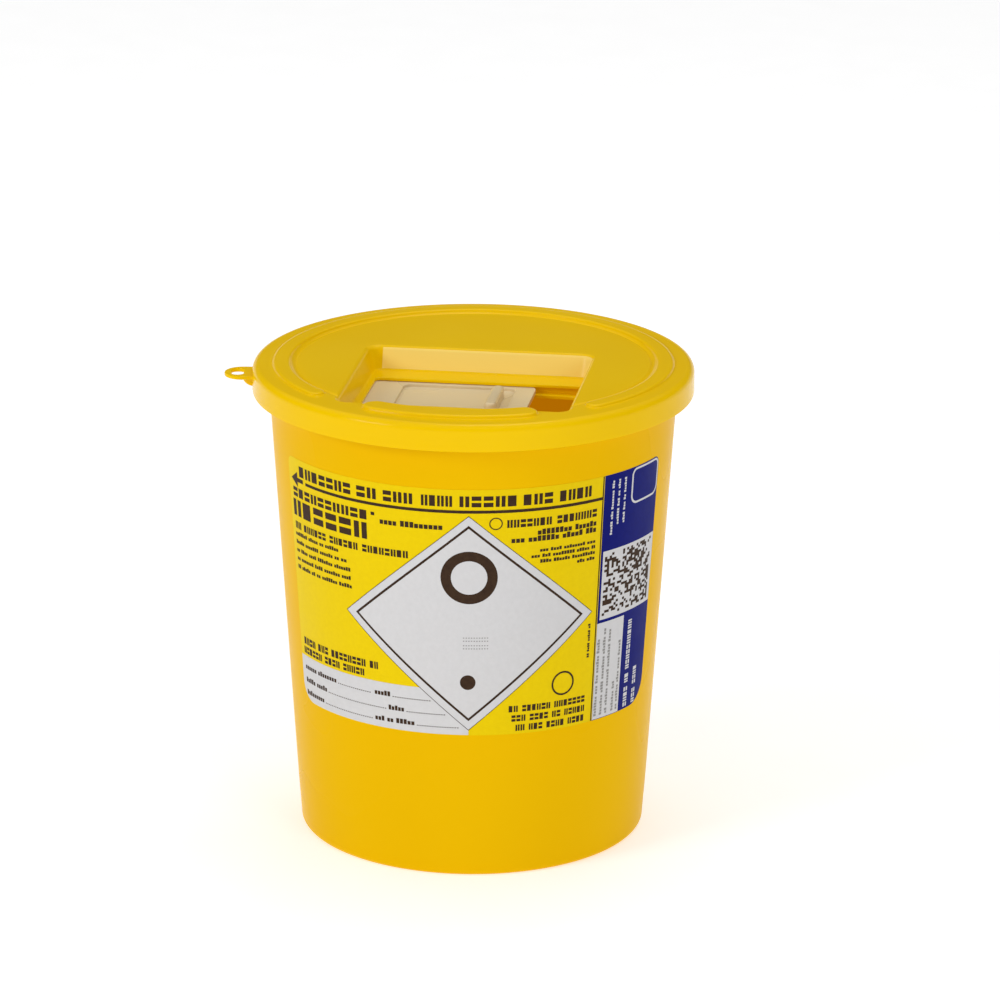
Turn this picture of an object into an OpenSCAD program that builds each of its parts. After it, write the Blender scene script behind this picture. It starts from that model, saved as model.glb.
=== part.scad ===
// Round sharps container: tapered tub, press-on lid with a trough, sliding door and wrap label.
// Origin: centre of the base on the resting surface. +Z up, -Y towards the front of the lid's trough.

/* [Container] */
// Height of the closed container
overall_h = 203.3; // [195:0.1:215]
// Outer radius of the lid's rim
lid_r = 93; // [92.5:0.1:94]
// Outer radius of the tub at the base
tub_base_r = 73.5; // [72:0.1:75]
// Outer radius of the tub just under the lid's skirt
tub_top_r = 85.9; // [85.4:0.1:86]

/* [Tub] */
// Wall thickness of the tub
tub_wall = 1.3; // [1:0.1:1.8]
// Height of the floor's top face above the base
floor_top = 3.4; // [3:0.1:5]
// Rounding of the outer edge of the base
base_round = 2.8; // [2:0.1:3.2]

/* [Lid] */
// Height of the lid's skirt
skirt_h = 11.35; // [11:0.05:12]
// Wall thickness of the lid
lid_wall = 1.6; // [1.4:0.1:1.8]
// Rounding of the rim's top edge
rim_round = 3; // [2:0.1:3.4]
// Height of the raised bead and the front rib above the lid's top
bead_h = 1.2; // [0.8:0.1:1.6]

/* [Trough] */
// Length of the trough from left to right at the top
trough_len = 95.8; // [94:0.1:97]
// Width of the trough from front to back at the top
trough_w = 84; // [82:0.5:85]
// Depth from the lid's top down to the lips over the door
trough_depth = 9.6; // [9:0.1:10]

/* [Door] */
// Length of the sliding door
door_len = 70.9; // [68:0.1:71]
// Width of the sliding door
door_w = 55; // [54:0.5:56]
// Thickness of the sliding door
door_t = 2.2; // [2:0.1:2.3]
// Right-hand edge of the door as it is modelled, with the aperture partly open
door_right_x = 26.5; // [10:0.5:45]
// Play between the door and its guide channel on each face
door_play = 0.3; // [0.3:0.05:0.35]

/* [Label] */
// Height of the label's lower edge
label_z0 = 64.5; // [60:0.5:70]
// Height of the label's upper edge
label_z1 = 173.5; // [165:0.5:176]
// Angle that the label covers round the tub
label_angle = 131; // [120:1:140]

/* [Hidden] */
$fn = 96;
eps = 0.01;
hair = 0.03;

// tub
skirt_z = overall_h - skirt_h;
lid_under_z = overall_h - lid_wall;
taper = (tub_top_r - tub_base_r) / skirt_z;
foot_inner_r = 66;
pad_r = 30;
floor_t = 1.8;
rim_gap = 0.3;
rim_top_z = lid_under_z - rim_gap;
rim_bead_r = 1.9;
rim_bead_z = skirt_z + 6;
inner_corner_r = 3;

// lid
skirt_inner_r = lid_r - lid_wall;
skirt_flare = 0.1;
plug_gap = 0.5;
plug_t = 1.4;
plug_bottom_z = overall_h - 8.8;
snap_r = 1.2;
snap_z = skirt_z + 1.4;
bead_root = 1;
bead_inner_r = 77;
bead_outer_r = 84.4;
bead_gap_left = -45.3;
bead_gap_right = 46.5;
rib_inner_r = 72.4;
rib_left = -22;
rib_right = 23.7;
step_r = 75.6;
step_w = 1.6;
step_depth = 0.5;

// trough: its lips lie above the door, its walls lean out slightly
trough_x0 = -47.2;
trough_x1 = trough_x0 + trough_len;
trough_y1 = 18;
trough_y0 = trough_y1 - trough_w;
trough_draft_left = 2.7;
trough_draft_right = 1;
trough_draft_back = 3;
lip_top_z = overall_h - trough_depth;
lip_t = 1.2;

// guide channel under the lips, with a pocket under the lid's left-hand panel
channel_top_z = lip_top_z - lip_t;
channel_z = channel_top_z - 2 * door_play - door_t;
channel_floor_t = 1.5;
door_y1 = 5;
door_y0 = door_y1 - door_w;
side_play = 0.35;
channel_x0 = -65.2;
channel_x1 = trough_x1 - 0.6;
door_corner_r = 5;
trough_corner_r = 5;
window_x0 = -42;
window_x1 = channel_x1 - 1;
window_y0 = door_y0 + 2.4;
window_y1 = door_y1 - 2.4;

// aperture in the channel's floor
aperture_x0 = 7;
aperture_x1 = 45;
aperture_y0 = -46;
aperture_y1 = 1;
aperture_corner_r = 5;

// door
door_z = channel_z + door_play;
door_x0 = door_right_x - door_len;
tray_depth = 1.2;
tray_x0 = door_right_x - 55.8;
tray_x1 = door_right_x - 8.5;
tray_y0 = -43;
tray_y1 = 0.5;
tray_corner_r = 4;
grip_x = door_right_x - 14.5;
grip_w = 5;
grip_y0 = -36;
grip_y1 = -8;
grip_h = 5;

// eyelet on the left-hand side of the skirt
eyelet_turn = 188;
eyelet_z = 197.6;
eyelet_t = 1.6;
eyelet_reach = 104.9;
eyelet_half_w = 7.6;
slot_half_w = 4.6;
slot_x0 = 96.7;
slot_x1 = 101.8;

// label
label_start = -90 - 56.7;
label_gap = 0.08;
label_t = 0.15;

function tub_r(z) = tub_base_r + taper * z;

function arc(cx, cy, r, a0, a1, n) =
    [for (i = [0:n]) [cx + r * cos(a0 + (a1 - a0) * i / n), cy + r * sin(a0 + (a1 - a0) * i / n)]];

// plan-view rectangle with rounded corners
module rounded_rect(x0, x1, y0, y1, r) {
    translate([x0 + r, y0]) square([x1 - x0 - 2 * r, y1 - y0]);
    translate([x0, y0 + r]) square([x1 - x0, y1 - y0 - 2 * r]);
    for (x = [x0 + r, x1 - r], y = [y0 + r, y1 - r]) translate([x, y]) circle(r);
}

module rounded_block(x0, x1, y0, y1, z0, z1, r) {
    translate([0, 0, z0]) linear_extrude(z1 - z0) rounded_rect(x0, x1, y0, y1, r);
}

// raised bead round part of the lid, between two radii and two angles from the front,
// with round ends that lie a hair below its own surface
module arc_bead(r0, r1, front_from, front_to, h) {
    mid_r = (r0 + r1) / 2;
    half = (r1 - r0) / 2;
    far = 2 * lid_r;
    translate([0, 0, overall_h]) difference() {
        rotate_extrude()
            polygon(concat([[r0, -bead_root]], arc_top(mid_r, half, h), [[r1, -bead_root]]));
        translate([0, 0, -bead_root - 1]) linear_extrude(h + bead_root + 2)
            polygon(concat([[0, 0]], arc(0, 0, far, front_to - 90, front_from + 270, 4)));
    }
    for (a = [front_from, front_to]) rotate([0, 0, a - 90])
        translate([mid_r, 0, overall_h - hair]) rotate_extrude()
            polygon(concat([[0, -bead_root]], [[0, h]], arc_end(half - hair, h),
                [[half - hair, -bead_root]]));
}

// flat-topped bead section with rounded shoulders of the bead's own height
function arc_top(mid_r, half, h) =
    concat(arc(mid_r - half + h, 0, h, 180, 90, 4), arc(mid_r + half - h, 0, h, 90, 0, 4));
function arc_end(half, h) = arc(half - h, 0, h, 90, 0, 4);

// tapered wall, foot ring, floor with its centre pad and rim bead in one moulding
module tub() {
    color([0.93, 0.76, 0.02]) rotate_extrude() {
        polygon(concat(
            [[0, 0], [pad_r, 0], [pad_r, floor_top - floor_t], [foot_inner_r, floor_top - floor_t],
             [foot_inner_r, 0]],
            arc(tub_base_r - base_round, base_round, base_round, -90, 0, 6),
            [[tub_r(rim_top_z), rim_top_z], [tub_r(rim_top_z) - tub_wall, rim_top_z]],
            arc(tub_r(floor_top) - tub_wall - inner_corner_r, floor_top + inner_corner_r,
                inner_corner_r, 0, -90, 6),
            [[0, floor_top]]));
        translate([tub_r(rim_bead_z) + 0.9, rim_bead_z]) circle(rim_bead_r);
    }
}

// top plate, rim, skirt with its snap bead, and the plug ring inside the tub's mouth
module lid_shell() {
    plug_r = tub_r(plug_bottom_z) - tub_wall - plug_gap;
    rotate_extrude() {
        polygon(concat(
            [[0, lid_under_z], [plug_r - plug_t, lid_under_z], [plug_r - plug_t, plug_bottom_z],
             [plug_r, plug_bottom_z], [plug_r, lid_under_z], [skirt_inner_r, lid_under_z],
             [skirt_inner_r + skirt_flare, skirt_z], [lid_r + skirt_flare, skirt_z]],
            arc(lid_r - rim_round, overall_h - rim_round, rim_round, 0, 90, 6),
            [[step_r + step_w, overall_h], [step_r + step_w, overall_h - step_depth],
             [step_r, overall_h - step_depth], [step_r - 0.4, overall_h], [0, overall_h]]));
        translate([skirt_inner_r + 0.2, snap_z]) circle(snap_r);
    }
}

// form of the trough between two heights, with walls that lean out, grown by a wall's thickness
module trough_form(grow, z0, z1) {
    low_z = channel_top_z - 1;
    high_z = overall_h + bead_h + 3;
    lean = (overall_h - low_z) / trough_depth;
    left = trough_x0 - grow;
    right = trough_x1 + grow;
    front = trough_y0 - grow;
    back = trough_y1 + grow;
    intersection() {
        rounded_block(left, right, front, back, z0, z1, trough_corner_r + grow);
        translate([0, back + 1, 0]) rotate([90, 0, 0]) linear_extrude(back - front + 2) polygon([
            [left + lean * trough_draft_left, low_z], [right - lean * trough_draft_right, low_z],
            [right + hair, overall_h], [right + 1, high_z], [left - 1, high_z],
            [left - hair, overall_h]]);
        translate([left - 1, 0, 0]) rotate([90, 0, 90]) linear_extrude(right - left + 2) polygon([
            [front - 1, low_z], [back - lean * trough_draft_back, low_z], [back + hair, overall_h],
            [back + 1, high_z], [front - 1, high_z]]);
    }
}

// solid that the trough's walls and lips are cut from
module trough_body() {
    trough_form(lid_wall, channel_top_z, overall_h - eps);
    rounded_block(channel_x0 - lid_wall, channel_x1 + lid_wall, door_y0 - side_play - lid_wall,
        door_y1 + side_play + lid_wall, channel_z - channel_floor_t, lip_top_z - eps,
        door_corner_r + lid_wall);
}

// space that the door slides in, the window above it and the aperture below it
module channel_hollow() {
    rounded_block(channel_x0, channel_x1, door_y0 - side_play, door_y1 + side_play, channel_z,
        channel_top_z, door_corner_r);
    rounded_block(window_x0, window_x1, window_y0, window_y1, channel_top_z - eps, lip_top_z + eps, 2);
    rounded_block(aperture_x0, aperture_x1, aperture_y0, aperture_y1,
        channel_z - channel_floor_t - 1, channel_z + 1, aperture_corner_r);
}

// flat loop with a slot, and the gusset that carries it on the skirt
module eyelet() {
    loop_r = eyelet_half_w;
    rotate([0, 0, eyelet_turn]) {
        translate([0, 0, eyelet_z - eyelet_t / 2]) linear_extrude(eyelet_t) difference() {
            union() {
                translate([eyelet_reach - loop_r, 0]) circle(loop_r);
                translate([lid_r - 1, -loop_r]) square([eyelet_reach - loop_r - lid_r + 1, 2 * loop_r]);
            }
            rounded_rect(slot_x0, slot_x1, -slot_half_w, slot_half_w, 2.4);
            circle(lid_r - lid_wall);
        }
        translate([0, eyelet_t / 2, 0]) rotate([90, 0, 0]) linear_extrude(eyelet_t)
            polygon([[lid_r - 1, skirt_z + 0.3], [lid_r + 1, skirt_z + 0.3],
                     [slot_x0 - 1.4, eyelet_z - 3.2], [slot_x0 - 0.1, eyelet_z - 1.4],
                     [slot_x0 - 0.1, eyelet_z], [lid_r - 1, eyelet_z]]);
    }
}

module lid() {
    color([0.93, 0.78, 0.03]) difference() {
        union() {
            lid_shell();
            trough_body();
            arc_bead(bead_inner_r, bead_outer_r, bead_gap_right, 360 + bead_gap_left, bead_h);
            arc_bead(rib_inner_r, bead_outer_r, rib_left, rib_right, bead_h + 0.3);
            eyelet();
        }
        trough_form(0, lip_top_z, overall_h + bead_h + 2);
        channel_hollow();
    }
}

// flat door with a shallow tray, a thumb bar and rounded corners
module sliding_door() {
    top_z = door_z + door_t;
    color([0.88, 0.80, 0.62]) {
        difference() {
            rounded_block(door_x0, door_right_x, door_y0, door_y1, door_z, top_z, door_corner_r);
            rounded_block(tray_x0, tray_x1, tray_y0, tray_y1, top_z - tray_depth, top_z + 1,
                tray_corner_r);
        }
        rounded_block(grip_x - grip_w / 2, grip_x + grip_w / 2, grip_y0, grip_y1,
            top_z - tray_depth, top_z - tray_depth + grip_h, grip_w / 2 - eps);
    }
}

// thin film that follows the tub's taper
module label() {
    color([0.95, 0.87, 0.05]) rotate([0, 0, label_start]) rotate_extrude(angle = label_angle)
        polygon([
            [tub_r(label_z0) + label_gap, label_z0], [tub_r(label_z0) + label_gap + label_t, label_z0],
            [tub_r(label_z1) + label_gap + label_t, label_z1], [tub_r(label_z1) + label_gap, label_z1]]);
}

tub();
lid();
sliding_door();
label();
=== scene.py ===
"""Looks of the round sharps container: tub, lid, sliding door and printed wrap label."""
import math
import random

import bmesh
import bpy
from mathutils import Matrix, Vector


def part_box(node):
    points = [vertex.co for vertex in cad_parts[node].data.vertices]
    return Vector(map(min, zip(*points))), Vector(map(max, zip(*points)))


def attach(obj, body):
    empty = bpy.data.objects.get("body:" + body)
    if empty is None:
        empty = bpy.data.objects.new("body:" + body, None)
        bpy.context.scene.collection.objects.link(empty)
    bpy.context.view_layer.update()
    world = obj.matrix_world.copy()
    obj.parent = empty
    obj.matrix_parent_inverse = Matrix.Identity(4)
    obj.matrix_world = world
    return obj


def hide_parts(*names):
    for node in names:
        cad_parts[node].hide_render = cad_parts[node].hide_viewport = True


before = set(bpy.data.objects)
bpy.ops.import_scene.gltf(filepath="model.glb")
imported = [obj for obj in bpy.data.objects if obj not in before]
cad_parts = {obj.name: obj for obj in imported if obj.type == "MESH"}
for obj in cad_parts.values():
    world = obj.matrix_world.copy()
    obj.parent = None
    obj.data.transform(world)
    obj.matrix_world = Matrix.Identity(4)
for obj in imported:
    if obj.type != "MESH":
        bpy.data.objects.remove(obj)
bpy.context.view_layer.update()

# ---------------------------------------------------------------- sizes, in millimetres
MM = 0.001


def box_mm(node):
    """Lowest and highest corner of a CAD node, in millimetres."""
    low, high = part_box(node)
    return [v / MM for v in low], [v / MM for v in high]


lid_high = box_mm("lid")[1]
door_low, door_high = box_mm("sliding_door")
label_low, label_high = box_mm("label")

BEAD_H, BEAD_R, BEAD_HALF_W = 1.2, 80.7, 3.7
BEAD_FROM, BEAD_TO = 46.5, 314.7
RIB_H, RIB_R, RIB_HALF_W = 1.5, 78.4, 5.6
RIB_FROM, RIB_TO = -22, 23.7
LID_TOP = lid_high[2] - RIB_H
RIM_R = lid_high[0] - 0.1
SKIRT_H = 11.35
SKIRT_Z = LID_TOP - SKIRT_H
LID_WALL = 1.6
UNDER_Z = LID_TOP - LID_WALL
PLUG_Z = LID_TOP - 8.8
PLUG_GAP, PLUG_T = 0.5, 1.4
BASE_R = 73.5
NECK_R = 85.9
TAPER = (NECK_R - BASE_R) / SKIRT_Z
TUB_WALL = 1.3
BASE_ROUND = 2.8
FLOOR_TOP = 3.4
RIM_BEAD_R = 1.9
ROUND_STEPS = 256

TROUGH_X0, TROUGH_X1 = -47.2, 48.6
TROUGH_Y0, TROUGH_Y1 = -66.0, 18.0
TROUGH_DEPTH = 9.6
TROUGH_LEAN_LEFT, TROUGH_LEAN_RIGHT, TROUGH_LEAN_BACK = 2.7, 1.0, 3.0
LIP_Z = LID_TOP - TROUGH_DEPTH
LIP_T = 1.2
CHANNEL_TOP = LIP_Z - LIP_T
DOOR_PLAY = 0.3
DOOR_T = 2.2
CHANNEL_Z = CHANNEL_TOP - 2 * DOOR_PLAY - DOOR_T
CHANNEL_FLOOR_T = 1.5
CHANNEL_X0, CHANNEL_X1 = -65.2, TROUGH_X1 - 0.6
WINDOW_X0, WINDOW_IN = -42, 2.4
APERTURE_X0, APERTURE_X1 = 7, 45
APERTURE_Y0, APERTURE_Y1 = -46, 1
TROUGH_CORNER = 5.0
DOOR_CORNER = 5.0
SIDE_PLAY = 0.35

EYELET_TURN = 188
EYELET_REACH, EYELET_HALF_W = 104.9, 7.6
EYELET_Z0, EYELET_Z1 = 196.8, 198.4
SLOT_X0, SLOT_X1 = 96.7, 101.8
SLOT_HALF, SLOT_CORNER = 4.6, 2.4

LABEL_FRONT = 7.8
LABEL_R = 81.0


def tub_r(z):
    """Outer radius of the tub's wall at a height."""
    return BASE_R + TAPER * z


# ---------------------------------------------------------------- mesh helpers
def arc(cx, cz, r, a0, a1, steps):
    """Points of an arc in the plane of a profile, angles in degrees."""
    return [
        (
            cx + r * math.cos(math.radians(a0 + (a1 - a0) * i / steps)),
            cz + r * math.sin(math.radians(a0 + (a1 - a0) * i / steps)),
        )
        for i in range(steps + 1)
    ]


def mesh_object(name, points, faces):
    """A mesh object from points in millimetres."""
    mesh = bpy.data.meshes.new(name)
    mesh.from_pydata([(x * MM, y * MM, z * MM) for x, y, z in points], [], faces)
    mesh.update()
    thing = bpy.data.objects.new(name, mesh)
    bpy.context.scene.collection.objects.link(thing)
    return thing


def loft(name, loops):
    """A closed solid through loops of equal length, capped at both ends."""
    count = len(loops[0])
    points = [p for loop in loops for p in loop]
    faces = []
    for level in range(len(loops) - 1):
        for i in range(count):
            j = (i + 1) % count
            low, high = level * count, (level + 1) * count
            faces.append((low + i, low + j, high + j, high + i))
    faces.append(tuple(reversed(range(count))))
    faces.append(tuple(range((len(loops) - 1) * count, len(loops) * count)))
    thing = mesh_object(name, points, faces)
    face_outwards(thing)
    return thing


def face_outwards(thing):
    """Makes every face of a closed mesh look outwards."""
    bm = bmesh.new()
    bm.from_mesh(thing.data)
    bmesh.ops.remove_doubles(bm, verts=bm.verts, dist=1e-7)
    bmesh.ops.recalc_face_normals(bm, faces=bm.faces)
    bm.to_mesh(thing.data)
    bm.free()


def revolve(name, profile, steps=ROUND_STEPS):
    """A closed solid from a profile of (radius, z) points, with flat caps inside its two ends."""
    loops = [
        [
            (r * math.cos(2 * math.pi * i / steps), r * math.sin(2 * math.pi * i / steps), z)
            for i in range(steps)
        ]
        for r, z in profile
    ]
    return loft(name, loops)


def rounded_rect(x0, x1, y0, y1, r, z, steps=8):
    """Loop of a rectangle with rounded corners at one height."""
    loop = []
    for cx, cy, start in (
        (x1 - r, y1 - r, 0),
        (x0 + r, y1 - r, 90),
        (x0 + r, y0 + r, 180),
        (x1 - r, y0 + r, 270),
    ):
        loop += [(x, y, z) for x, y in arc(cx, cy, r, start, start + 90, steps)]
    return loop


def rounded_block(name, x0, x1, y0, y1, z0, z1, corner, edge):
    """A block with rounded corners in plan and softened top and bottom edges."""
    levels = [(edge, z0), (0.3 * edge, z0 + 0.3 * edge), (0, z0 + edge)]
    levels += [(0, z1 - edge), (0.3 * edge, z1 - 0.3 * edge), (edge, z1)]
    return loft(
        name,
        [
            rounded_rect(x0 + g, x1 - g, y0 + g, y1 - g, corner - g, z)
            for g, z in levels
        ],
    )


def arc_stadium(r, half, from_deg, to_deg, z, along=96, around=12):
    """Loop round a curved slot shape: an arc of a width, with round ends. Angles are from the front."""
    def at(radius, degrees):
        a = math.radians(degrees)
        return (radius * math.sin(a), -radius * math.cos(a), z)

    def end(degrees, turn):
        a = math.radians(degrees)
        cx, cy = r * math.sin(a), -r * math.cos(a)
        out = (math.sin(a), -math.cos(a))
        forward = (math.cos(a) * turn, math.sin(a) * turn)
        ring = []
        for i in range(1, around):
            t = math.pi * i / around
            side = math.cos(t) * turn
            ring.append(
                (
                    cx + half * (out[0] * side + forward[0] * math.sin(t)),
                    cy + half * (out[1] * side + forward[1] * math.sin(t)),
                    z,
                )
            )
        return ring

    angles = [from_deg + (to_deg - from_deg) * i / along for i in range(along + 1)]
    outer = [at(r + half, a) for a in angles]
    inner = [at(r - half, a) for a in reversed(angles)]
    return outer + end(to_deg, 1) + inner + end(from_deg, -1)


def arc_bead(name, r, half, from_deg, to_deg, height, shoulder):
    """Low bead on the lid's top: its foot flares out, its shoulder is rounded and its top is flat."""
    levels = [(0.45, -0.9), (0.45, -0.05), (0.2, 0.08 * height), (-0.05, 0.3 * height)]
    for i in range(1, 7):
        a = math.radians(15 * i)
        levels.append((-0.05 - shoulder * (1 - math.cos(a)), height * (0.3 + 0.7 * math.sin(a))))
    return loft(
        name,
        [arc_stadium(r, half + grow, from_deg, to_deg, LID_TOP + z) for grow, z in levels],
    )


def combine(thing, tool, operation):
    """Adds, cuts or keeps a tool shape and deletes the tool."""
    cut = thing.modifiers.new("combine", "BOOLEAN")
    cut.operation = operation
    cut.solver = "EXACT"
    cut.object = tool
    evaluated = thing.evaluated_get(bpy.context.evaluated_depsgraph_get())
    made = bpy.data.meshes.new_from_object(evaluated)
    thing.modifiers.clear()
    old = thing.data
    thing.data = made
    bpy.data.meshes.remove(old)
    bpy.data.objects.remove(tool)


def smooth(thing, sharp_over=38):
    """Smooth shading with crisp edges where faces meet at more than an angle."""
    mesh = thing.data
    bm = bmesh.new()
    bm.from_mesh(mesh)
    bmesh.ops.remove_doubles(bm, verts=bm.verts, dist=2e-6)
    bmesh.ops.dissolve_degenerate(bm, edges=bm.edges, dist=2e-6)
    bm.to_mesh(mesh)
    bm.free()
    mesh.polygons.foreach_set("use_smooth", [True] * len(mesh.polygons))
    mesh.set_sharp_from_angle(angle=math.radians(sharp_over))
    weighted = thing.modifiers.new("even_shading", "WEIGHTED_NORMAL")
    weighted.keep_sharp = True
    weighted.weight = 80


# ---------------------------------------------------------------- materials
def srgb(r, g, b):
    """Linear colour from an 8-bit screen colour."""
    def linear(c):
        c /= 255
        return c / 12.92 if c <= 0.04045 else ((c + 0.055) / 1.055) ** 2.4

    return (linear(r), linear(g), linear(b), 1.0)


def node_material(name):
    """A new node material, its tree, its shader and an object-space coordinate output."""
    material = bpy.data.materials.new(name)
    material.use_nodes = True
    tree = material.node_tree
    shader = tree.nodes["Principled BSDF"]
    place = tree.nodes.new("ShaderNodeTexCoord").outputs["Object"]
    return material, tree, shader, place


def noise(tree, place, scale, detail=3.0, roughness=0.5, stretch=(1, 1, 1)):
    """Noise over the object, with the scale in cells a metre."""
    mapping = tree.nodes.new("ShaderNodeMapping")
    mapping.inputs["Scale"].default_value = stretch
    tree.links.new(place, mapping.inputs["Vector"])
    texture = tree.nodes.new("ShaderNodeTexNoise")
    texture.inputs["Scale"].default_value = scale
    texture.inputs["Detail"].default_value = detail
    texture.inputs["Roughness"].default_value = roughness
    tree.links.new(mapping.outputs["Vector"], texture.inputs["Vector"])
    return texture.outputs["Fac"]


def ramp(tree, value, low, high, low_at=0.3, high_at=0.7):
    """Colour ramp between two colours."""
    node = tree.nodes.new("ShaderNodeValToRGB")
    node.color_ramp.elements[0].position = low_at
    node.color_ramp.elements[0].color = low
    node.color_ramp.elements[1].position = high_at
    node.color_ramp.elements[1].color = high
    tree.links.new(value, node.inputs["Fac"])
    return node.outputs["Color"]


def spread(tree, value, low, high):
    """A number moved from about 0.3..0.7 to a range."""
    node = tree.nodes.new("ShaderNodeMapRange")
    node.inputs["From Min"].default_value = 0.3
    node.inputs["From Max"].default_value = 0.7
    node.inputs["To Min"].default_value = low
    node.inputs["To Max"].default_value = high
    tree.links.new(value, node.inputs["Value"])
    return node.outputs["Result"]


def bump(tree, shader, value, strength, distance):
    """Bump from a number onto the shader's normal."""
    node = tree.nodes.new("ShaderNodeBump")
    node.inputs["Strength"].default_value = strength
    node.inputs["Distance"].default_value = distance
    tree.links.new(value, node.inputs["Height"])
    tree.links.new(node.outputs["Normal"], shader.inputs["Normal"])


def moulded_plastic(name, light, dark, rough_low, rough_high, specular, glow=None):
    """Glossy polypropylene: faint flow marks in the colour, uneven gloss and a fine moulded skin.

    The glow stands for light that comes through the thin wall.
    """
    material, tree, shader, place = node_material(name)
    flow = noise(tree, place, 14.0, 1.0, 0.4, (1, 1, 0.35))
    tree.links.new(ramp(tree, flow, dark, light), shader.inputs["Base Color"])
    haze = noise(tree, place, 22.0, 1.0, 0.4)
    tree.links.new(spread(tree, haze, rough_low, rough_high), shader.inputs["Roughness"])
    skin = noise(tree, place, 60.0, 1.0, 0.4)
    bump(tree, shader, skin, 0.02, 0.0002)
    shader.inputs["Specular IOR Level"].default_value = specular
    if glow:
        shader.inputs["Emission Color"].default_value = glow
        shader.inputs["Emission Strength"].default_value = 1.0
    return material


def paint_sheen_inside(material, low, high, pale):
    """Paints a pale sheen into a plastic's colour inside a box, given by its lowest and highest corner in
    metres. The sheen is a painted highlight: reflected light put into the colour.
    """
    tree = material.node_tree
    shader = tree.nodes["Principled BSDF"]
    place = tree.nodes.new("ShaderNodeTexCoord").outputs["Object"]
    parts = tree.nodes.new("ShaderNodeSeparateXYZ")
    tree.links.new(place, parts.inputs["Vector"])
    inside = None
    for axis, low_at, high_at in zip("XYZ", low, high):
        for operation, limit in (("GREATER_THAN", low_at), ("LESS_THAN", high_at)):
            test = tree.nodes.new("ShaderNodeMath")
            test.operation = operation
            test.inputs[1].default_value = limit
            tree.links.new(parts.outputs[axis], test.inputs[0])
            if inside is None:
                inside = test.outputs["Value"]
            else:
                both = tree.nodes.new("ShaderNodeMath")
                both.operation = "MULTIPLY"
                tree.links.new(inside, both.inputs[0])
                tree.links.new(test.outputs["Value"], both.inputs[1])
                inside = both.outputs["Value"]
    mix = tree.nodes.new("ShaderNodeMix")
    mix.data_type = "RGBA"
    share, plain, changed = (socket for socket in mix.inputs if socket.enabled)
    mixed = next(socket for socket in mix.outputs if socket.enabled)
    tree.links.new(inside, share)
    tree.links.new(shader.inputs["Base Color"].links[0].from_socket, plain)
    changed.default_value = pale
    tree.links.new(mixed, shader.inputs["Base Color"])


def film_ink(name, light, dark, roughness=0.42, grain=520.0):
    """Printed film or ink: a satin surface with a fine mottle."""
    material, tree, shader, place = node_material(name)
    mottle = noise(tree, place, grain, 3.0, 0.6)
    tree.links.new(ramp(tree, mottle, dark, light), shader.inputs["Base Color"])
    smear = noise(tree, place, 60.0, 3.0, 0.5)
    tree.links.new(spread(tree, smear, roughness - 0.05, roughness + 0.06), shader.inputs["Roughness"])
    bump(tree, shader, mottle, 0.03, 0.0001)
    shader.inputs["Specular IOR Level"].default_value = 0.06
    return material


# Box of the painted sheen on the trough's back wall: a pale patch that stands for reflected light.
BACK_WALL_SHEEN_LOW = (-0.0415, 0.0135, 0.1942)
BACK_WALL_SHEEN_HIGH = (0.055, 0.0195, 0.2026)

tub_plastic = moulded_plastic(
    "tub_plastic",
    light=srgb(214, 170, 0),
    dark=srgb(210, 165, 0),
    rough_low=0.24,
    rough_high=0.32,
    specular=0.02,
    glow=(0.17, 0.09, 0.0, 1.0),
)
lid_plastic = moulded_plastic(
    "lid_plastic",
    light=srgb(233, 192, 0),
    dark=srgb(229, 187, 0),
    rough_low=0.15,
    rough_high=0.21,
    specular=0.08,
    glow=(0.08, 0.04, 0.0, 1.0),
)
# Painted highlight: the trough's back wall gets a pale sheen in its colour in place of reflected light.
paint_sheen_inside(lid_plastic, BACK_WALL_SHEEN_LOW, BACK_WALL_SHEEN_HIGH, srgb(246, 218, 120))
door_plastic = moulded_plastic(
    "door_plastic",
    light=srgb(226, 206, 167),
    dark=srgb(221, 200, 158),
    rough_low=0.24,
    rough_high=0.34,
    specular=0.3,
)
film_yellow = film_ink("film_yellow", srgb(234, 203, 0), srgb(230, 198, 0))
ink_dark = film_ink("ink_dark", srgb(66, 48, 34), srgb(54, 38, 28))
ink_white = film_ink("ink_white", srgb(210, 209, 210), srgb(206, 205, 206))
ink_navy = film_ink("ink_navy", srgb(5, 16, 112), srgb(3, 12, 104))
ink_grey = film_ink("ink_grey", srgb(150, 148, 146), srgb(140, 138, 136))

# ---------------------------------------------------------------- camera, floor and light
CAMERA_TURN = 8.5
CAMERA_AWAY = 2.0796
CAMERA_UP = 0.8083
CAMERA_YAW = 0.0055
CAMERA_PITCH = 0.31
CAMERA_ROLL = 0.005
CAMERA_LENS = 185.2
FLOOR_HALF = 7000


def make_camera():
    """Long-lens camera at the photograph's place, in the frame of the lid."""
    fwd = Vector(
        (
            math.sin(CAMERA_YAW) * math.cos(CAMERA_PITCH),
            math.cos(CAMERA_YAW) * math.cos(CAMERA_PITCH),
            -math.sin(CAMERA_PITCH),
        )
    )
    right = Vector((math.cos(CAMERA_YAW), -math.sin(CAMERA_YAW), 0))
    up = right.cross(fwd)
    roll_c, roll_s = math.cos(CAMERA_ROLL), math.sin(CAMERA_ROLL)
    right, up = roll_c * right + roll_s * up, roll_c * up - roll_s * right
    facing = Matrix((right, up, -fwd)).transposed().to_4x4()
    spot = Matrix.Translation((0, -CAMERA_AWAY, CAMERA_UP))
    data = bpy.data.cameras.new("camera")
    data.lens = CAMERA_LENS
    data.sensor_width = 36
    data.clip_end = 50
    camera = bpy.data.objects.new("camera", data)
    camera.matrix_world = Matrix.Rotation(math.radians(CAMERA_TURN), 4, "Z") @ spot @ facing
    bpy.context.scene.collection.objects.link(camera)
    bpy.context.scene.camera = camera


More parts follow.
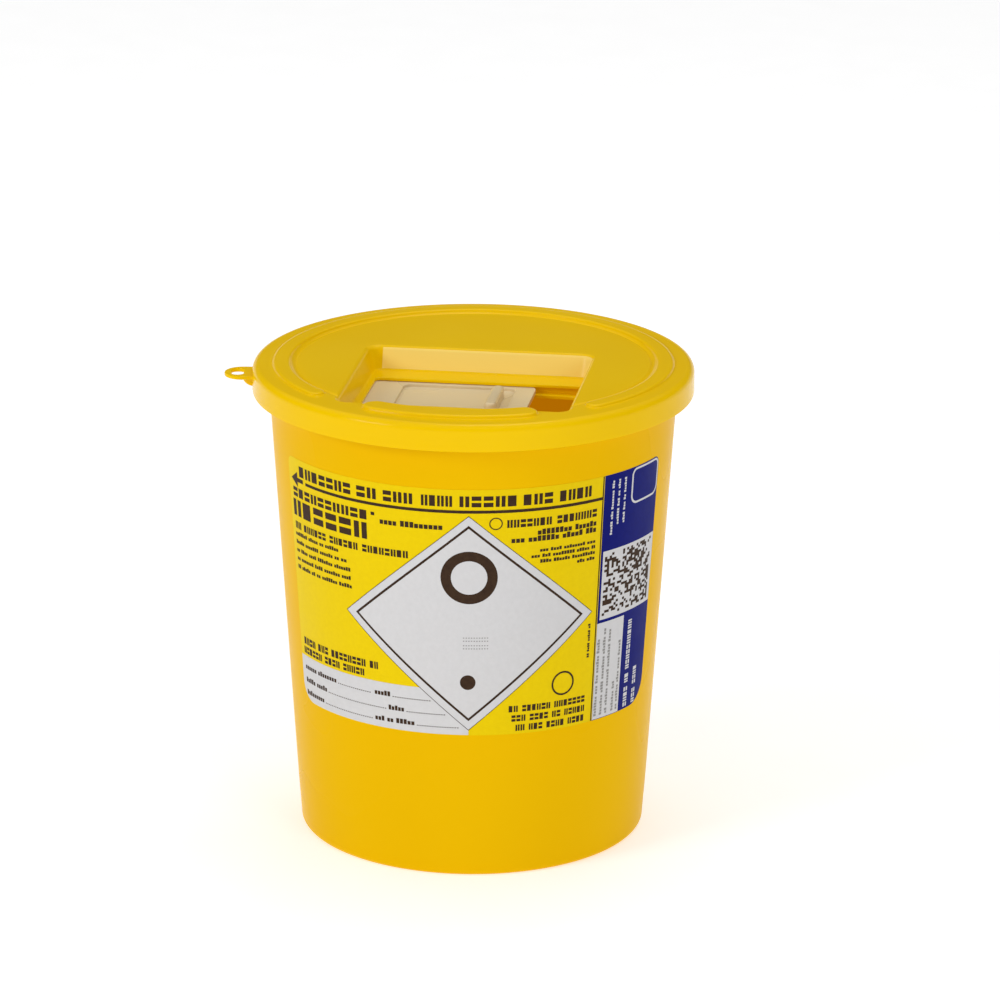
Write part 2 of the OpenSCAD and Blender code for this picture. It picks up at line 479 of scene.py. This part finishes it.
def area_light(name, place, target, size, power, mirrored=True):
    """A soft square light that looks at a point. It may be left out of the plastic's reflections."""
    data = bpy.data.lights.new(name, "AREA")
    data.shape = "SQUARE"
    data.size = size
    data.energy = power
    light = bpy.data.objects.new(name, data)
    light.visible_glossy = mirrored
    look = Vector(target) - Vector(place)
    light.matrix_world = Matrix.Translation(place) @ look.to_track_quat("-Z", "Y").to_matrix().to_4x4()
    bpy.context.scene.collection.objects.link(light)


def make_world():
    """Soft surroundings: bright near the horizon and overhead, dim in between."""
    world = bpy.data.worlds.new("studio")
    world.use_nodes = True
    tree = world.node_tree
    direction = tree.nodes.new("ShaderNodeTexCoord").outputs["Generated"]
    parts = tree.nodes.new("ShaderNodeSeparateXYZ")
    tree.links.new(direction, parts.inputs["Vector"])
    shade = ramp(tree, parts.outputs["Z"], (0.9, 0.9, 0.9, 1), (1, 1, 1, 1), 0.09, 0.8)
    stops = shade.node.color_ramp.elements
    for place_at in (0.16, 0.45):
        stops.new(place_at).color = (0.08, 0.08, 0.08, 1)
    tree.links.new(shade, tree.nodes["Background"].inputs["Color"])
    tree.nodes["Background"].inputs["Strength"].default_value = 0.8
    bpy.context.scene.world = world


def make_studio():
    """Plain pale floor, pale surroundings and soft light."""
    half = FLOOR_HALF
    floor = mesh_object(
        "floor",
        [(-half, -half, 0), (half, -half, 0), (half, half, 0), (-half, half, 0)],
        [(0, 1, 2, 3)],
    )
    material, tree, shader, place = node_material("floor_paper")
    grain = noise(tree, place, 30.0)
    paper = ramp(tree, grain, (0.79, 0.79, 0.79, 1), (0.81, 0.81, 0.81, 1))
    tree.links.new(paper, shader.inputs["Base Color"])
    shader.inputs["Roughness"].default_value = 0.9
    shader.inputs["Specular IOR Level"].default_value = 0.1
    shader.inputs["Emission Color"].default_value = (1, 1, 1, 1)
    shader.inputs["Emission Strength"].default_value = 0.44
    floor.data.materials.append(material)
    make_world()
    middle = (0, 0, 0.1)
    area_light("key", (-2.0, -1.8, 1.4), middle, size=1.0, power=28)
    area_light("fill", (1.7, -2.0, 1.0), middle, size=1.0, power=14, mirrored=False)
    area_light("top", (0.1, 0.6, 2.2), (0, 0, 0.15), size=0.9, power=8)
    bpy.context.scene.view_settings.view_transform = "Standard"


# ---------------------------------------------------------------- tub
def make_tub():
    """Tapered tub with a foot ring, a floor on a centre pad and a rolled rim."""
    rim_top = UNDER_Z - 0.3
    rim_r = tub_r(rim_top)
    rim_in = rim_r - TUB_WALL
    rim_bead_z = SKIRT_Z + 6
    bead_r = tub_r(rim_bead_z) + 0.9
    pad_r, foot_in, recess_z = 30, 66, 1.6
    profile = [(pad_r - 0.4, 0), (pad_r, 0.3), (pad_r + 0.2, recess_z - 0.3), (pad_r + 0.6, recess_z)]
    profile += [(foot_in - 0.5, recess_z), (foot_in, recess_z - 0.4), (foot_in, 0.4), (foot_in + 0.4, 0)]
    profile += arc(BASE_R - BASE_ROUND, BASE_ROUND, BASE_ROUND, -90, 3.7, 10)
    profile += [(tub_r(z), z) for z in (20, 60, 100, 140, 180, SKIRT_Z)]
    profile += arc(bead_r, rim_bead_z, RIM_BEAD_R, -55, 60, 8)
    profile += [(rim_r, rim_bead_z + 2.1), (rim_r, rim_top - 0.4), (rim_r - 0.4, rim_top)]
    profile += [(rim_in + 0.4, rim_top), (rim_in, rim_top - 0.4)]
    profile += [(tub_r(z) - TUB_WALL, z) for z in (180, 140, 100, 60, 20)]
    profile += arc(tub_r(FLOOR_TOP) - TUB_WALL - 3, FLOOR_TOP + 3, 3, 0, -90, 6)
    profile += [(60, FLOOR_TOP)]
    tub = revolve("tub_shell", profile)
    smooth(tub)
    tub.data.materials.append(tub_plastic)
    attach(tub, "tub_body")
    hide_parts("tub")


# ---------------------------------------------------------------- lid
def lid_shell():
    """Top plate with its fine groove, rounded rim, skirt with its snap bead, and plug ring."""
    plug_out = tub_r(PLUG_Z) - TUB_WALL - PLUG_GAP
    plug_in = plug_out - PLUG_T
    skirt_in = RIM_R - LID_WALL
    profile = [(70, LID_TOP), (74.0, LID_TOP), (74.5, LID_TOP - 0.12), (75.0, LID_TOP - 0.42)]
    profile += [(75.5, LID_TOP - 0.5), (76.0, LID_TOP - 0.42), (76.4, LID_TOP - 0.12), (76.8, LID_TOP)]
    profile += [(86, LID_TOP)]
    profile += arc(RIM_R - 3, LID_TOP - 3, 3, 90, 0, 14)
    profile += [(RIM_R + 0.03, LID_TOP - 6), (RIM_R + 0.08, SKIRT_Z + 0.6), (RIM_R, SKIRT_Z + 0.15)]
    profile += [(RIM_R - 0.3, SKIRT_Z), (skirt_in + 0.5, SKIRT_Z), (skirt_in + 0.1, SKIRT_Z + 0.1)]
    profile += arc(skirt_in + 0.2, SKIRT_Z + 1.4, 1.2, -120, -240, 8)
    profile += [(skirt_in, UNDER_Z - 1), (skirt_in - 0.3, UNDER_Z - 0.3), (skirt_in - 1, UNDER_Z)]
    profile += [(plug_out + 0.3, UNDER_Z), (plug_out, UNDER_Z - 0.3), (plug_out, PLUG_Z + 0.4)]
    profile += [(plug_out - 0.4, PLUG_Z), (plug_in + 0.4, PLUG_Z), (plug_in, PLUG_Z + 0.4)]
    profile += [(plug_in, UNDER_Z - 0.3), (plug_in - 0.3, UNDER_Z), (60, UNDER_Z)]
    return revolve("lid_moulding", profile, 360)


def trough_loop(z, grow, corner):
    """Outline of the trough at a height: its walls lean out towards the top."""
    lean = max(0.0, (LID_TOP - z) / TROUGH_DEPTH)
    return rounded_rect(
        TROUGH_X0 + TROUGH_LEAN_LEFT * lean - grow,
        TROUGH_X1 - TROUGH_LEAN_RIGHT * lean + grow,
        TROUGH_Y0 - grow,
        TROUGH_Y1 - TROUGH_LEAN_BACK * lean + grow,
        corner + grow,
        z,
    )


def trough_void():
    """Void of the trough: rounded top edge, walls that lean out and a rounded foot on the lips."""
    edge, foot = 1.7, 0.9
    levels = []
    for turn in (0, 20, 40, 60, 80):
        a = math.radians(turn)
        levels.append((LIP_Z + foot * (1 - math.cos(a)), -foot * (1 - math.sin(a))))
    levels.append((LID_TOP - edge, 0.0))
    for turn in (15, 30, 45, 60, 72, 80):
        a = math.radians(turn)
        levels.append((LID_TOP - edge * (1 - math.sin(a)), edge * (1 - math.cos(a))))
    levels.append((LID_TOP + 4, edge + 1.2))
    return loft("trough_void", [trough_loop(z, grow, TROUGH_CORNER) for z, grow in levels])


def flared_void(name, x0, x1, y0, y1, z0, z1, corner, edge):
    """Void between two heights, with the top edge that it cuts softened."""
    levels = [(0, z0), (0, z1 - edge), (0.15 * edge, z1 - 0.45 * edge), (0.5 * edge, z1 - 0.12 * edge)]
    levels += [(0.9 * edge, z1), (1.5 * edge, z1 + 0.6)]
    return loft(
        name,
        [rounded_rect(x0 - g, x1 + g, y0 - g, y1 + g, corner + g, z) for g, z in levels],
    )


def eyelet():
    """Flat loop with a slot on the left of the skirt, over a rounded gusset."""
    z0, z1 = EYELET_Z0, EYELET_Z1
    root = RIM_R - 0.9

    def outline(z, grow):
        half = EYELET_HALF_W + grow
        tip = [(EYELET_REACH - EYELET_HALF_W + x, y, z) for x, y in arc(0, 0, half, -90, 90, 32)]
        return tip + [(root, half, z), (root, -half, z)]

    def slot_void(levels):
        return loft(
            "slot",
            [
                rounded_rect(SLOT_X0 - g, SLOT_X1 + g, -SLOT_HALF - g, SLOT_HALF + g, SLOT_CORNER + g, z)
                for g, z in levels
            ],
        )

    lower = ((z0, -0.4), (z0 + 0.15, -0.12), (z0 + 0.5, 0))
    upper = ((z1 - 0.5, 0), (z1 - 0.15, -0.12), (z1, -0.4))
    loop = loft("eyelet", [outline(z, grow) for z, grow in lower + upper])
    slot_lower = ((0.5, z0 - 0.5), (0.2, z0 + 0.1), (0, z0 + 0.5))
    slot_upper = ((0, z1 - 0.5), (0.2, z1 - 0.1), (0.5, z1 + 0.5))
    combine(loop, slot_void(slot_lower + slot_upper), "DIFFERENCE")
    gusset = loft(
        "gusset",
        [
            [
                (root, -w, z), (out - 1.0, -w, z), (out - 0.2, -w * 0.6, z), (out, 0, z),
                (out - 0.2, w * 0.6, z), (out - 1.0, w, z), (root, w, z),
            ]
            for out, w, z in (
                (93.8, 1.2, 192.3),
                (95.0, 2.0, 192.8),
                (96.2, 2.5, 193.8),
                (97.2, 2.8, 195.0),
                (97.7, 3.0, 196.0),
                (97.8, 3.1, 197.2),
            )
        ],
    )
    combine(gusset, slot_void(((0, z0 - 5), (0, z1 + 1))), "DIFFERENCE")
    combine(loop, gusset, "UNION")
    loop.data.transform(Matrix.Rotation(math.radians(EYELET_TURN), 4, "Z"))
    return loop


def make_lid():
    """The lid as one moulding."""
    lid = lid_shell()
    wall = LID_WALL
    body_levels = (CHANNEL_TOP, UNDER_Z + 0.8)
    body = loft("trough_body", [trough_loop(z, wall, TROUGH_CORNER) for z in body_levels])
    combine(lid, body, "UNION")
    side_y0, side_y1 = door_low[1] - SIDE_PLAY, door_high[1] + SIDE_PLAY
    channel = rounded_block(
        "channel_body", CHANNEL_X0 - wall, CHANNEL_X1 + wall, side_y0 - wall, side_y1 + wall,
        CHANNEL_Z - CHANNEL_FLOOR_T, LIP_Z - 0.02, DOOR_CORNER + wall, 0.3,
    )
    combine(lid, channel, "UNION")
    combine(lid, trough_void(), "DIFFERENCE")
    run_levels = (CHANNEL_Z, CHANNEL_TOP)
    run = loft(
        "run",
        [rounded_rect(CHANNEL_X0, CHANNEL_X1, side_y0, side_y1, DOOR_CORNER, z) for z in run_levels],
    )
    combine(lid, run, "DIFFERENCE")
    window = flared_void(
        "window", WINDOW_X0, CHANNEL_X1 - 1, door_low[1] + WINDOW_IN, door_high[1] - WINDOW_IN,
        CHANNEL_TOP - 1, LIP_Z, 2.0, 0.5,
    )
    combine(lid, window, "DIFFERENCE")
    under_channel = CHANNEL_Z - CHANNEL_FLOOR_T - 1
    aperture = flared_void(
        "aperture", APERTURE_X0, APERTURE_X1, APERTURE_Y0, APERTURE_Y1, under_channel, CHANNEL_Z, 5.0, 0.5,
    )
    combine(lid, aperture, "DIFFERENCE")
    bead = arc_bead("bead", BEAD_R, BEAD_HALF_W, BEAD_FROM, BEAD_TO, BEAD_H, 1.5)
    combine(lid, bead, "UNION")
    rib = arc_bead("rib", RIB_R, RIB_HALF_W, RIB_FROM, RIB_TO, RIB_H, 1.6)
    combine(lid, rib, "UNION")
    combine(lid, eyelet(), "UNION")
    smooth(lid)
    lid.data.materials.append(lid_plastic)
    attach(lid, "lid_body")
    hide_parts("lid")


# ---------------------------------------------------------------- sliding door
def make_door():
    """Milky door with a shallow tray and a thumb bar."""
    x0, x1 = door_low[0], door_high[0]
    y0, y1 = door_low[1], door_high[1]
    z0 = door_low[2]
    top = z0 + DOOR_T
    door = rounded_block("door_plate", x0, x1, y0, y1, z0, top, DOOR_CORNER, 0.35)
    tray_floor = top - 1.2
    tray = flared_void("tray", x1 - 55.8, x1 - 8.5, y0 + 7, y1 - 4.5, tray_floor, top, 4.0, 0.4)
    combine(door, tray, "DIFFERENCE")
    grip_x0, grip_x1 = x1 - 17, x1 - 12
    grip_y0, grip_y1 = y0 + 14, y1 - 13
    grip_corner = 2.45
    levels = ((0, -0.2), (0, 3.6), (0.15, 4.2), (0.45, 4.65), (0.9, 4.92), (1.5, 5.0))
    grip = loft(
        "grip",
        [
            rounded_rect(grip_x0 + g, grip_x1 - g, grip_y0 + g, grip_y1 - g, grip_corner - g, tray_floor + z)
            for g, z in levels
        ],
    )
    combine(door, grip, "UNION")
    smooth(door)
    door.data.materials.append(door_plastic)
    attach(door, "door_body")
    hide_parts("sliding_door")


# ---------------------------------------------------------------- wrap label
# The label is laid out flat: u is the distance round the tub in millimetres from the label's middle,
# z is the height. Its print is generic: plain blocks stand where words and marks would be.
FILM_U0, FILM_U1 = -91.2, 94.0
FILM_TOP = 0.12
NAVY_TOP, WHITE_TOP, PRINT_TOP = 0.15, 0.17, 0.19
BAND_U = 57.3
BEND_STEP = 3
PANEL_Z = 85.0
DIAMOND_U, DIAMOND_Z = -0.7, 114.4
DIAMOND_HALF_U, DIAMOND_HALF_Z = 54.9, 47.7

letters = random.Random(11)


def wrap(u, z, height):
    """Point on the tub for a place on the flat label and a height above the wall."""
    turn = u / LABEL_R + math.radians(LABEL_FRONT)
    r = tub_r(z) + height
    return (r * math.sin(turn) * MM, -r * math.cos(turn) * MM, z * MM)


def wrapped(name, polygons, low, high, material):
    """A piece of film or ink from flat convex polygons, bent round the tub. Ink has no thickness."""
    bm = bmesh.new()
    for polygon in polygons:
        bm.faces.new([bm.verts.new((u, z, high)) for u, z in polygon])
    if low < high:
        grown = bmesh.ops.extrude_face_region(bm, geom=bm.faces[:])["geom"]
        for vert in (v for v in grown if isinstance(v, bmesh.types.BMVert)):
            vert.co.z = low
    for u in range(-90, 94, BEND_STEP):
        bmesh.ops.bisect_plane(
            bm, geom=bm.verts[:] + bm.edges[:] + bm.faces[:], plane_co=(u, 0, 0), plane_no=(1, 0, 0)
        )
    for vert in bm.verts:
        vert.co = wrap(*vert.co)
    mesh = bpy.data.meshes.new(name)
    bmesh.ops.recalc_face_normals(bm, faces=bm.faces)
    bm.to_mesh(mesh)
    bm.free()
    thing = bpy.data.objects.new(name, mesh)
    bpy.context.scene.collection.objects.link(thing)
    smooth(thing)
    mesh.materials.append(material)
    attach(thing, "tub_body")
    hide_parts("label")


def plain_box(u0, u1, z0, z1):
    """Upright rectangle on the flat label."""
    return [(u0, z0), (u1, z0), (u1, z1), (u0, z1)]


def rounded_box(u0, u1, z0, z1, radii):
    """Rectangle with its own corner radius at bottom left, bottom right, top right and top left."""
    corners = ((u0, z0, 1, 1, 180), (u1, z0, -1, 1, 270), (u1, z1, -1, -1, 0), (u0, z1, 1, -1, 90))
    outline = []
    for (u, z, in_u, in_z, start), r in zip(corners, radii):
        outline += arc(u + in_u * r, z + in_z * r, r, start, start + 90, 8)
    return outline


def frame_of(outline, inner):
    """Quads between an outline and a smaller outline of as many points."""
    count = len(outline)
    return [
        [outline[i], outline[(i + 1) % count], inner[(i + 1) % count], inner[i]] for i in range(count)
    ]


def ring(u, z, r_out, r_in, steps=48):
    """Quads of a flat ring."""
    return frame_of(arc(u, z, r_out, 0, 360, steps)[:-1], arc(u, z, r_in, 0, 360, steps)[:-1])


def diamond(shrink):
    """Four corners of the white diamond, pulled in towards its middle."""
    half_u, half_z = DIAMOND_HALF_U - shrink, DIAMOND_HALF_Z - shrink * DIAMOND_HALF_Z / DIAMOND_HALF_U
    u, z = DIAMOND_U, DIAMOND_Z
    return [(u - half_u, z), (u, z - half_z), (u + half_u, z), (u, z + half_z)]


def word(start, end, foot, height, count, upright=False):
    """Blocks in place of the letters of one word. Upright words run up the label."""
    pitch = (end - start) / count
    width = 0.8 * pitch
    blocks = []
    for i in range(count):
        a = start + i * pitch
        if height > 2.6:
            style = letters.randint(0, 2)
            if style == 0:
                parts = [(a, a + 0.4 * width, 0, height), (a + 0.6 * width, a + width, 0, height)]
            elif style == 1:
                parts = [(a, a + width, 0, 0.4 * height), (a, a + width, 0.6 * height, height)]
            else:
                parts = [(a, a + 0.9 * width, 0, height)]
        else:
            parts = [(a, a + width, 0, height * letters.choice((0.75, 0.75, 1.0)))]
        for a0, a1, b0, b1 in parts:
            if upright:
                blocks.append(plain_box(foot - b1, foot - b0, a0, a1))
            else:
                blocks.append(plain_box(a0, a1, foot + b0, foot + b1))
    return blocks


def text_line(start, end, foot, height, pitch, upright=False):
    """Words of chance lengths along one line."""
    blocks = []
    at = start
    while at < end - pitch:
        stop = at + letters.randint(2, 8) * pitch
        if stop > end - 2 * pitch:
            stop = end
        blocks += word(at, stop, foot, height, max(1, round((stop - at) / pitch)), upright)
        at = stop + 0.7 * pitch
    return blocks


def dots(start, end, z):
    """Dotted line to write on."""
    count = round((end - start) / 1.1)
    return [plain_box(start + 1.1 * i, start + 1.1 * i + 0.55, z, z + 0.45) for i in range(count)]


def heading_print():
    """Fill line with its arrow, and the row of heavy words on it."""
    marks = [plain_box(-77.6, 56.4, 163.2, 164.5), plain_box(-84, -79.4, 163.3, 165.1)]
    marks.append([(-88.8, 164.2), (-83.8, 161.0), (-83.8, 167.6)])
    spans = ((-82, -49.9, 7), (-47.8, -37.8, 2), (-35.6, -22.3, 3), (-19.6, -6.6, 4))
    spans += ((-4.3, 19.4, 5), (21.0, 34.0, 3), (36.2, 51.4, 4))
    for start, end, count in spans:
        marks += word(start, end, 166.0, 4.7, count)
    return marks


def left_print():
    """Lines of print to the left of the diamond."""
    marks = word(-88, -42.2, 156.4, 4.1, 10) + [plain_box(-41.4, -39.8, 158.9, 160.3)]
    marks += text_line(-37.4, -10.8, 155.7, 2.5, 1.9)
    marks += word(-88.7, -42, 147.8, 7.2, 6)
    marks += text_line(-88, -25, 142.0, 3.1, 2.6)
    for i, end in enumerate((-58.6, -54.2, -52.5, -52.5, -52.1)):
        marks += text_line(-88.3, end, 138.9 - 3.7 * i, 1.7, 1.35)
    marks += text_line(-87.5, -40.3, 90.4, 3.2, 2.5)
    marks += text_line(-88, -47.4, 86.2, 3.0, 2.5)
    return marks


def panel_print():
    """Three rows of fields on the white write-on panel: a word, a dotted line, a word, a dotted line."""
    marks = []
    rows = ((79.1, -64, -44, -35, -17), (73.2, -70.8, -37.4, -28.7, -10), (67.6, -73.4, -44.2, -24, -4.2))
    for foot, first, second, third, fourth in rows:
        marks += text_line(-87.8, first, foot, 2.2, 1.6)
        marks += dots(first + 0.9, second, foot)
        marks += text_line(second + 1.2, third, foot, 2.2, 1.6)
        marks += dots(third + 0.9, fourth, foot)
    return marks


def right_print():
    """Lines of print to the right of the diamond, a small ring by the top one and one lower down."""
    marks = ring(10.1, 158.6, 2.7, 2.25, 28)
    marks += text_line(14.6, 54.4, 156.6, 3.4, 2.7)
    marks += text_line(27.2, 54.2, 152.6, 2.4, 1.9)
    marks += text_line(16.4, 54.2, 149.8, 2.4, 1.9)
    for i, start in enumerate((28.4, 24.8, 28.6, 45.3)):
        marks += text_line(start, 54.1, 145.0 - 2.45 * i, 1.5, 1.25)
    marks += ring(41, 84.8, 5.4, 4.6, 36)
    for i, start in enumerate((16.6, 17.9, 19.8)):
        marks += text_line(start, 53, 74.4 - 4.3 * i, 2.8, 2.2)
    marks += text_line(94, 109.3, 53.7, 1.2, 1.0, True)
    marks.append(plain_box(BAND_U - 0.9, BAND_U - 0.35, 64.6, 173.4))
    return marks


def diamond_print():
    """Dark outlines of the diamond, with a plain ring above its middle and a dot below."""
    marks = frame_of(diamond(4.9), diamond(6.4)) + frame_of(diamond(0), diamond(0.4))
    marks += ring(-0.5, 134.9, 11.6, 7.4)
    marks.append(arc(-1.0, 88.3, 3.3, 0, 360, 28)[:-1])
    return marks


def code_print():
    """Chance pattern of squares on the white square of the band."""
    cells_u, cells_z = 24, 24
    u0, u1, z0, z1 = 59.6, 91.6, 111.0, 138.4
    step_u, step_z = (u1 - u0) / cells_u, (z1 - z0) / cells_z
    marks = []
    for row in range(cells_z):
        for column in range(cells_u):
            if letters.random() < 0.5:
                u, z = u0 + column * step_u, z0 + row * step_z
                marks.append(plain_box(u, u + step_u, z, z + step_z))
    return marks


def grey_print():
    """Two small lines in the diamond and the upright lines of the white box."""
    marks = []
    for foot in (106.6, 103.2):
        marks += dots(-3, 8.2, foot) + dots(-3, 8.2, foot + 1.4)
    for foot, top in ((59.5, 101), (62.8, 105.3), (65.9, 104.2), (70.0, 79.7), (72.7, 97.7)):
        marks += text_line(66.2, top, foot, 1.5, 1.3, True)
    return marks


def white_print():
    """White panels, and the light lines and rounded badge on the navy band."""
    low = DIAMOND_Z - DIAMOND_HALF_Z
    cut = DIAMOND_U - (PANEL_Z - low) * DIAMOND_HALF_U / DIAMOND_HALF_Z
    left, foot, corner = FILM_U0 + 0.2, label_low[2] + 0.2, 8.8
    panel = arc(left + corner, foot + corner, corner, 180, 270, 8)
    panel += [(DIAMOND_U, foot), (DIAMOND_U, low), (cut, PANEL_Z), (left, PANEL_Z)]
    shapes = [panel, diamond(0)]
    shapes.append(plain_box(BAND_U + 0.1, 73.8, 64.8, 108.0))
    shapes.append(plain_box(58.5, FILM_U1 - 0.2, 109.4, 139.8))
    badge = rounded_box(73.2, FILM_U1 - 0.4, 157.0, 172.9, (4, 4, 3, 3))
    badge_in = rounded_box(74.1, FILM_U1 - 1.3, 157.9, 172.0, (3.2, 3.2, 2.2, 2.2))
    shapes += frame_of(badge, badge_in)
    for foot, low_z, height in ((62.7, 146.6, 1.2), (66.1, 150.6, 1.2), (69.7, 150.5, 1.2)):
        shapes += text_line(low_z, 170.6, foot, height, 1.2, True)
    shapes += text_line(65.6, 105.2, 80.1, 2.7, 2.3, True)
    shapes += text_line(65.6, 82.5, 86.8, 2.7, 2.3, True)
    return shapes


def make_label():
    """Yellow film with a navy band, white panels and generic print in dark, grey and white ink."""
    film = rounded_box(FILM_U0, FILM_U1, label_low[2], label_high[2], (9, 11, 3.5, 3.5))
    band = rounded_box(
        BAND_U, FILM_U1 - 0.05, label_low[2] + 0.05, label_high[2] - 0.05, (0.1, 11, 3.5, 0.1)
    )
    wrapped("label_sheet", [film], 0.02, FILM_TOP, film_yellow)
    wrapped("label_band", [band], NAVY_TOP, NAVY_TOP, ink_navy)
    wrapped("label_white", white_print(), WHITE_TOP, WHITE_TOP, ink_white)
    dark = heading_print() + left_print() + panel_print() + right_print()
    dark += diamond_print() + code_print()
    wrapped("label_dark", dark, PRINT_TOP, PRINT_TOP, ink_dark)
    wrapped("label_grey", grey_print(), PRINT_TOP, PRINT_TOP, ink_grey)


make_camera()
make_studio()
make_tub()
make_lid()
make_door()
make_label()
